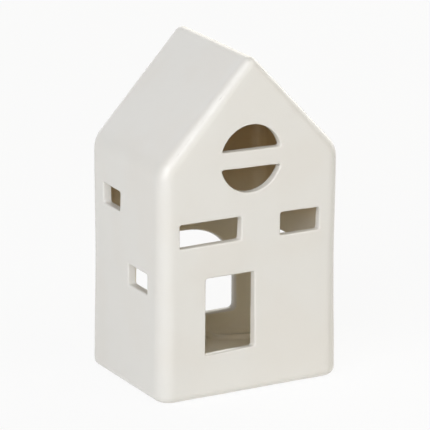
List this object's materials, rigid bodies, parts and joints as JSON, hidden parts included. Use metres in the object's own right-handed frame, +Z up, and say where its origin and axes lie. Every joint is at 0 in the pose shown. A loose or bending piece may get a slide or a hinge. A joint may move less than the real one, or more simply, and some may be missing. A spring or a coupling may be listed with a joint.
{
  "type": "ceramic tealight house",
  "caption": "Small hollow gabled house of glazed ceramic slabs, with cut-out door and windows and an arched back opening for a tealight.",
  "frame": {"origin": "middle of the underside, on the surface the house stands on", "axes": "+Z up, +X to the right as the front is seen, +Y from the front to the back"},
  "size_m": [0.0888, 0.0676, 0.1481],
  "materials": {
    "cream_glaze": "glossy cream-white glaze, softened at the rims"
  },
  "bodies": {
    "root": {"front_wall": "cream_glaze", "back_wall": "cream_glaze", "left_wall": "cream_glaze", "right_wall": "cream_glaze", "left_roof": "cream_glaze", "right_roof": "cream_glaze", "base": "cream_glaze"}
  },
  "joints": []
}
